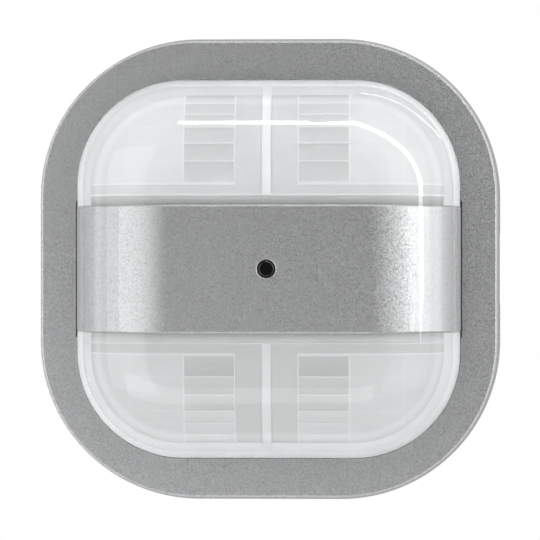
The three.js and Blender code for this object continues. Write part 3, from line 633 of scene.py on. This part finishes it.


# Facets: columns from the centre outwards and rows from the band outwards. A tone is a pair of
# greys, for the upper and the lower window; the two greys differ as painted light, most lower ones
# painted darker as painted shade. A fade is what is added to a tone at the edge nearest the band,
# and at the edge furthest from it.
COLUMNS = (0.8, 5.4, 14.45, 23.95, 31.0)
ROWS = (14.9, 18.6, 21.7, 24.5, 26.7, 28.7, 30.4)
RIM_ANGLE = 26
DARK = ((0.68, 0.54), (0.66, 0.6), (0.67, 0.62), (0.71, 0.69), (0.71, 0.68), (0.7, 0.67))
# Painted shading across each dark prism: lighter at the edge nearest the band, darker at its outer
# edge.
PRISM_SHADING = (0.05, -0.04)
PLAIN = (0.82, 0.7)
PALE = (0.83, 0.7)
INNER = (0.745, 0.615)
# Painted highlights: pale lines along the facets' edges and along their sill.
PALE_EDGE_HIGHLIGHT = (0.87, 0.75)
EDGE_HIGHLIGHT = (0.93, 0.82)
RIB = (0.97, 0.81)
# Painted shadow of the band: the grey strip on the lens along the band's edge, a pair like the
# tones above.
BAND_SHADOW = (0.53, 0.65)
# The first grey is a painted glow of light along the lens's rim; the other two are the shoulder's
# and the dome's.
RIM_GLOW, SHOULDER, DOME = 0.97, 0.87, 0.84
# Painted shadow of the band: darker next to the band, lighter away from it.
BAND_SHADOW_FADE = (-0.16, 0.16)
NO_FADE = (0.0, 0.0)
BORDER = 0.2
FINE = 0.35
RIPPLE = 1.3
# How far the painted shadow of the band reaches from its edge.
BAND_SHADOW_HEIGHT = 1.5
LEDGE = (1.6, 1.9)


def spaced(start, end, border, both=True):
    """Fine even steps from start to end, with a narrow border cell at one end or both."""
    inner_start, inner_end = start + border, end - border * both
    count = max(1, round((inner_end - inner_start) / FINE))
    inner = [inner_start + (inner_end - inner_start) * i / count for i in range(count + 1)]
    if not border:
        return inner
    return [start] + inner + [end] * both


def facet(
    mesh,
    window,
    side,
    xs,
    ys,
    tones,
    fade=NO_FADE,
    relief=0.0,
    grooves=0.0,
    border=0.0,
    edge_highlight=EDGE_HIGHLIGHT,
    inset=FACET_DEPTH,
):
    """One facet of the lens: a patch with its own slope, ripples and tone, the fade's painted
    shading across it, and a painted highlight along its border.
    """
    points, faces, colours = mesh
    columns, rows = spaced(*xs, border), spaced(*ys, border, False)
    centre = ((xs[0] + xs[1]) / 2, ys[0] - 1.5)
    way = (1, -1)[window]
    index = {}
    for i, x in enumerate(columns):
        for j, y in enumerate(rows):
            height = dome_height(x, y, inset)
            if height is None:
                continue
            slope = relief * (1 - (y - ys[0]) / (ys[1] - ys[0]))
            away = math.hypot(x - centre[0], y - centre[1])
            ripple = grooves * math.sin(away * math.tau / RIPPLE)
            index[i, j] = len(points)
            points.append((side * x, way * y, height + slope + ripple))
    for i in range(len(columns) - 1):
        for j in range(len(rows) - 1):
            corners = [(i, j), (i + 1, j), (i + 1, j + 1), (i, j + 1)]
            if any(corner not in index for corner in corners):
                continue
            face = tuple(index[corner] for corner in corners)
            faces.append(tuple(reversed(face)) if side * way < 0 else face)
            # Border cells get the painted highlight; the others get the tone and the fade's painted
            # shading, the windows kept apart by painted light.
            if border and (j == 0 or i in (0, len(columns) - 2)):
                colours.append(edge_highlight[window])
            else:
                colours.append(tones[window] + fade[0] + (fade[1] - fade[0]) * j / len(rows))


def look(column, row):
    """How the facet in a column and row differs from a plain patch."""
    # Dark prisms get painted shading across them and a painted highlight round their border; the
    # next column gets a paler painted highlight.
    if column == 1:
        return {"tones": DARK[row], "fade": PRISM_SHADING, "relief": 0.1, "grooves": 0.01, "border": BORDER}
    plain = {"tones": PLAIN, "relief": 0.04, "grooves": 0.004}
    if column == 2:
        return {**plain, "tones": PALE, "border": BORDER, "edge_highlight": PALE_EDGE_HIGHLIGHT}
    return plain


def lens_body():
    """The milky body behind the skin: a dome with facets and ribs, a painted glow of light along
    its rim, and a painted shadow of the band in a strip along it.
    """
    mesh = ([], [], [])
    dome = lens_sections(BODY_DEPTH)
    rim = lens_sections(RIM_DEPTH, end=RIM_ANGLE, steps=8)
    rim.insert(0, (*rim[0][:3], FOOT))
    shoulder = lens_sections(
        RIM_DEPTH + 0.1, start=RIM_ANGLE - 4, end=RIM_ANGLE + 12, steps=6
    )
    # The outermost loft is painted paler: a painted glow of light along the lens's rim.
    lofts = ((rim, RIM_GLOW, []), (shoulder, SHOULDER, []), (dome, DOME, [-1]))
    for sections, tone, top_face in lofts:
        points, faces = loft(sections, False)
        first = len(mesh[0])
        mesh[0].extend(points)
        faces = faces[:-2] + [faces[i] for i in top_face]
        mesh[1].extend(tuple(first + i for i in face) for face in faces)
        mesh[2].extend([tone] * len(faces))
    edge = BAND_HALF
    start = edge + LEDGE[1]
    half = LENS_HALF[0] - 2
    top = LENS_HALF[1] - 1.6
    sill = (ROWS[0] - 0.3, ROWS[0])
    for window in (0, 1):
        for side in SIDES:
            facet(mesh, window, side, (0, COLUMNS[0]), (start, top), RIB, inset=0.55)
            facet(mesh, window, side, COLUMNS[0:2], (start, top), INNER)
            for column in range(1, len(COLUMNS) - 1):
                for row in range(len(ROWS) - 1):
                    place = (COLUMNS[column : column + 2], ROWS[row : row + 2])
                    facet(mesh, window, side, *place, **look(column, row))
            # The painted shadow of the band: a grey strip along its edge, darkest next to it.
            facet(mesh, window, side, (0, half), (edge, edge + BAND_SHADOW_HEIGHT), BAND_SHADOW, BAND_SHADOW_FADE)
            facet(mesh, window, side, (0, half), (edge + LEDGE[0], start), RIB, inset=0.6)
            facet(mesh, window, side, (COLUMNS[1], half), (start, sill[0]), INNER)
            # A painted highlight along the sill of the facets.
            facet(mesh, window, side, (COLUMNS[1], COLUMNS[-1]), sill, EDGE_HIGHLIGHT, inset=0.65)
    body = make("lens_body", mesh[0], mesh[1], milk)
    tone = body.data.attributes.new("tone", "FLOAT_COLOR", "CORNER")
    for polygon, value in zip(body.data.polygons, mesh[2]):
        for loop in polygon.loop_indices:
            tone.data[loop].color = (value * 0.985, value, value, 1)
    body.data.shade_smooth()
    body.data.set_sharp_from_angle(angle=math.radians(20))
    return body


def lens():
    """The lens: its milky body stands for the CAD node, and its skin rides along."""
    body = lens_body()
    stands_for(body, "lens", "cover")
    skin = lens_skin()
    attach(skin, "cover")


bezel_ring()
center_band()
lens()


# ------------------------------------------------------------ carried-over CAD nodes

REPLACED = {"bezel_ring", "center_band", "lens"}
SLOTS = {part["node"]: part["material_slot"] for part in frame["record"]["subparts"]}
SMALL = ("screw", "nut", "knob", "pin_header", "chip", "window", "busbar", "lamp", "ambient")


def refine(node, piece):
    """Rounds a CAD node's edges and gives it its material. Its mesh stays as it is."""
    piece.data.materials.clear()
    piece.data.materials.append(FINISHES[SLOTS[node]])
    weld = piece.modifiers.new("weld", "WELD")
    weld.merge_threshold = 0.002 * MM
    flat = piece.modifiers.new("flat", "DECIMATE")
    flat.decimate_type = "DISSOLVE"
    flat.angle_limit = math.radians(1)
    rounded = piece.modifiers.new("bevel", "BEVEL")
    rounded.width = (0.08 if any(word in node for word in SMALL) else 0.2) * MM
    rounded.segments = 2
    rounded.limit_method = "ANGLE"
    rounded.angle_limit = math.radians(35)
    rounded.use_clamp_overlap = True
    piece.data.shade_smooth()
    soft = piece.modifiers.new("soft", "WEIGHTED_NORMAL")
    soft.keep_sharp = True


for node, piece in frame["nodes"].items():
    if node not in REPLACED:
        refine(node, piece)


# ------------------------------------------------------------ light and camera


def aim(thing, target):
    thing.rotation_euler = (target - thing.location).to_track_quat("-Z", "Y").to_euler()


def direction(right, up):
    """A direction from the sensor: degrees to the right of, and above, the way it faces."""
    right, up = math.radians(right), math.radians(up)
    return Vector((math.sin(right) * math.cos(up), -math.cos(right) * math.cos(up), math.sin(up)))


def area_light(name, size, radiance, matrix):
    """A rectangular light, size metres wide and high, of an even radiance. It isn't seen itself."""
    light = bpy.data.lights.new(name, "AREA")
    light.shape = "RECTANGLE"
    light.size, light.size_y = size
    light.energy = radiance * math.pi * size[0] * size[1]
    lamp = bpy.data.objects.new(name, light)
    bpy.context.scene.collection.objects.link(lamp)
    lamp.matrix_world = matrix
    lamp.visible_camera = False
    return lamp


def facing(place, along):
    """A place and turn for a light that faces the sensor with its width along a direction."""
    back = place.normalized()
    across = (along - back * along.dot(back)).normalized()
    matrix = Matrix((across, back.cross(across), back)).transposed().to_4x4()
    matrix.translation = place
    return matrix


def softbox(name, right, up, distance, size, radiance):
    """A soft light in a direction, at a distance in metres, that faces the sensor."""
    place = direction(right, up) * distance
    return area_light(name, size, radiance, facing(place, Vector((0, 0, 1)).cross(place)))


def strip_light(name, corners, distance, width, radiance):
    """A bent strip light through directions of the face frame. It shows only in gloss."""
    places = [Vector((x, -z, y)).normalized() * distance for x, y, z in corners]
    for i in range(len(places) - 1):
        start, end = places[i], places[i + 1]
        middle, along = (start + end) / 2, end - start
        size = (along.length, width)
        strip = area_light(f"{name}_{i}", size, radiance, facing(middle, along))
        strip.visible_diffuse = False


# The room's brightness from straight in front of the sensor, at 0, to straight behind it, at 1.
ROOM = (
    (0.0, 0.08),
    (0.04, 0.1),
    (0.12, 0.32),
    (0.3, 0.5),
    (0.42, 0.7),
    (0.48, 1.9),
    (0.53, 1.9),
    (0.6, 0.55),
    (0.8, 0.45),
    (1.0, 0.55),
)


def world():
    """A pale room: white to look at, brightest at the sides and dim in front."""
    scene_world = bpy.data.worlds.new("room")
    bpy.context.scene.world = scene_world
    scene_world.use_nodes = True
    tree = scene_world.node_tree
    background = tree.nodes["Background"]
    output = tree.nodes["World Output"]
    seen = tree.nodes.new("ShaderNodeBackground")
    seen.inputs["Color"].default_value = (1, 1, 1, 1)
    split = tree.nodes.new("ShaderNodeSeparateXYZ")
    place = tree.nodes.new("ShaderNodeTexCoord").outputs["Generated"]
    tree.links.new(place, split.inputs["Vector"])
    ramp = tree.nodes.new("ShaderNodeValToRGB")
    depth = tree.nodes.new("ShaderNodeMapRange")
    depth.inputs["From Min"].default_value = -1
    depth.inputs["From Max"].default_value = 1
    tree.links.new(split.outputs["Y"], depth.inputs["Value"])
    elements = ramp.color_ramp.elements
    while len(elements) < len(ROOM):
        elements.new(0.5)
    for element, (position, value) in zip(elements, ROOM):
        element.position = position
        element.color = (value, value, value * 1.01, 1)
    tree.links.new(depth.outputs["Result"], ramp.inputs["Fac"])
    tree.links.new(ramp.outputs["Color"], background.inputs["Color"])
    mix = tree.nodes.new("ShaderNodeMixShader")
    light_path = tree.nodes.new("ShaderNodeLightPath")
    tree.links.new(light_path.outputs["Is Camera Ray"], mix.inputs["Fac"])
    tree.links.new(background.outputs["Background"], mix.inputs[1])
    tree.links.new(seen.outputs["Background"], mix.inputs[2])
    tree.links.new(mix.outputs["Shader"], output.inputs["Surface"])


def floor():
    """A plain pale floor, well below the wall accessory."""
    low = at(0, -FLOOR["drop"], 0).z
    reach = FLOOR["reach"]
    mesh = bpy.data.meshes.new("floor")
    spread = ((-reach, -reach), (reach, -reach), (reach, reach), (-reach, reach))
    mesh.from_pydata([(x, y, low) for x, y in spread], [], [(0, 1, 2, 3)])
    plane = bpy.data.objects.new("floor", mesh)
    bpy.context.scene.collection.objects.link(plane)
    material, shader = principled("pale_floor", Base_Color=(0.9, 0.9, 0.9, 1), Roughness=0.8)
    shader.inputs["Emission Color"].default_value = (1, 1, 1, 1)
    shader.inputs["Emission Strength"].default_value = FLOOR["glow"]
    mesh.materials.append(material)
    plane.visible_glossy = False


def camera():
    """A camera in front of the sensor and a little to its right, as wide as the view."""
    data = bpy.data.cameras.new("camera")
    eye = bpy.data.objects.new("camera", data)
    bpy.context.scene.collection.objects.link(eye)
    eye.location = at(CAMERA_RIGHT, -VIEW_LIFT, CAMERA_DISTANCE)
    aim(eye, at(0, -VIEW_LIFT, 0))
    data.lens = data.sensor_width * CAMERA_DISTANCE / VIEW_WIDTH
    data.clip_start = 0.01
    bpy.context.scene.camera = eye


FAR, NEAR, STRIP_DISTANCE = 0.8, 0.35, 0.7

world()
floor()
camera()
strip_light("strip", STRIP_PATH, STRIP_DISTANCE, 0.075, 8.5)
strip_light("arc", ARC_PATH, STRIP_DISTANCE, 0.026, 4.5)
softbox("left_box", -45, 0, FAR, (0.85, 0.9), 1.2)
softbox("right_box", 46, 0, FAR, (0.85, 0.9), 0.75)
softbox("low_box", -20, -27, FAR, (0.9, 0.3), 1.4)
for name, right, up, distance, radiance in (
    ("low_fill", 0, -35, FAR, 0.25),
    ("right_fill", 50, 15, NEAR, 0.55),
    ("top_fill", 0, 65, FAR, 0.25),
):
    side = 0.75 * distance
    softbox(name, right, up, distance, (side, side), radiance).visible_glossy = False
bpy.context.scene.view_settings.view_transform = "Standard"
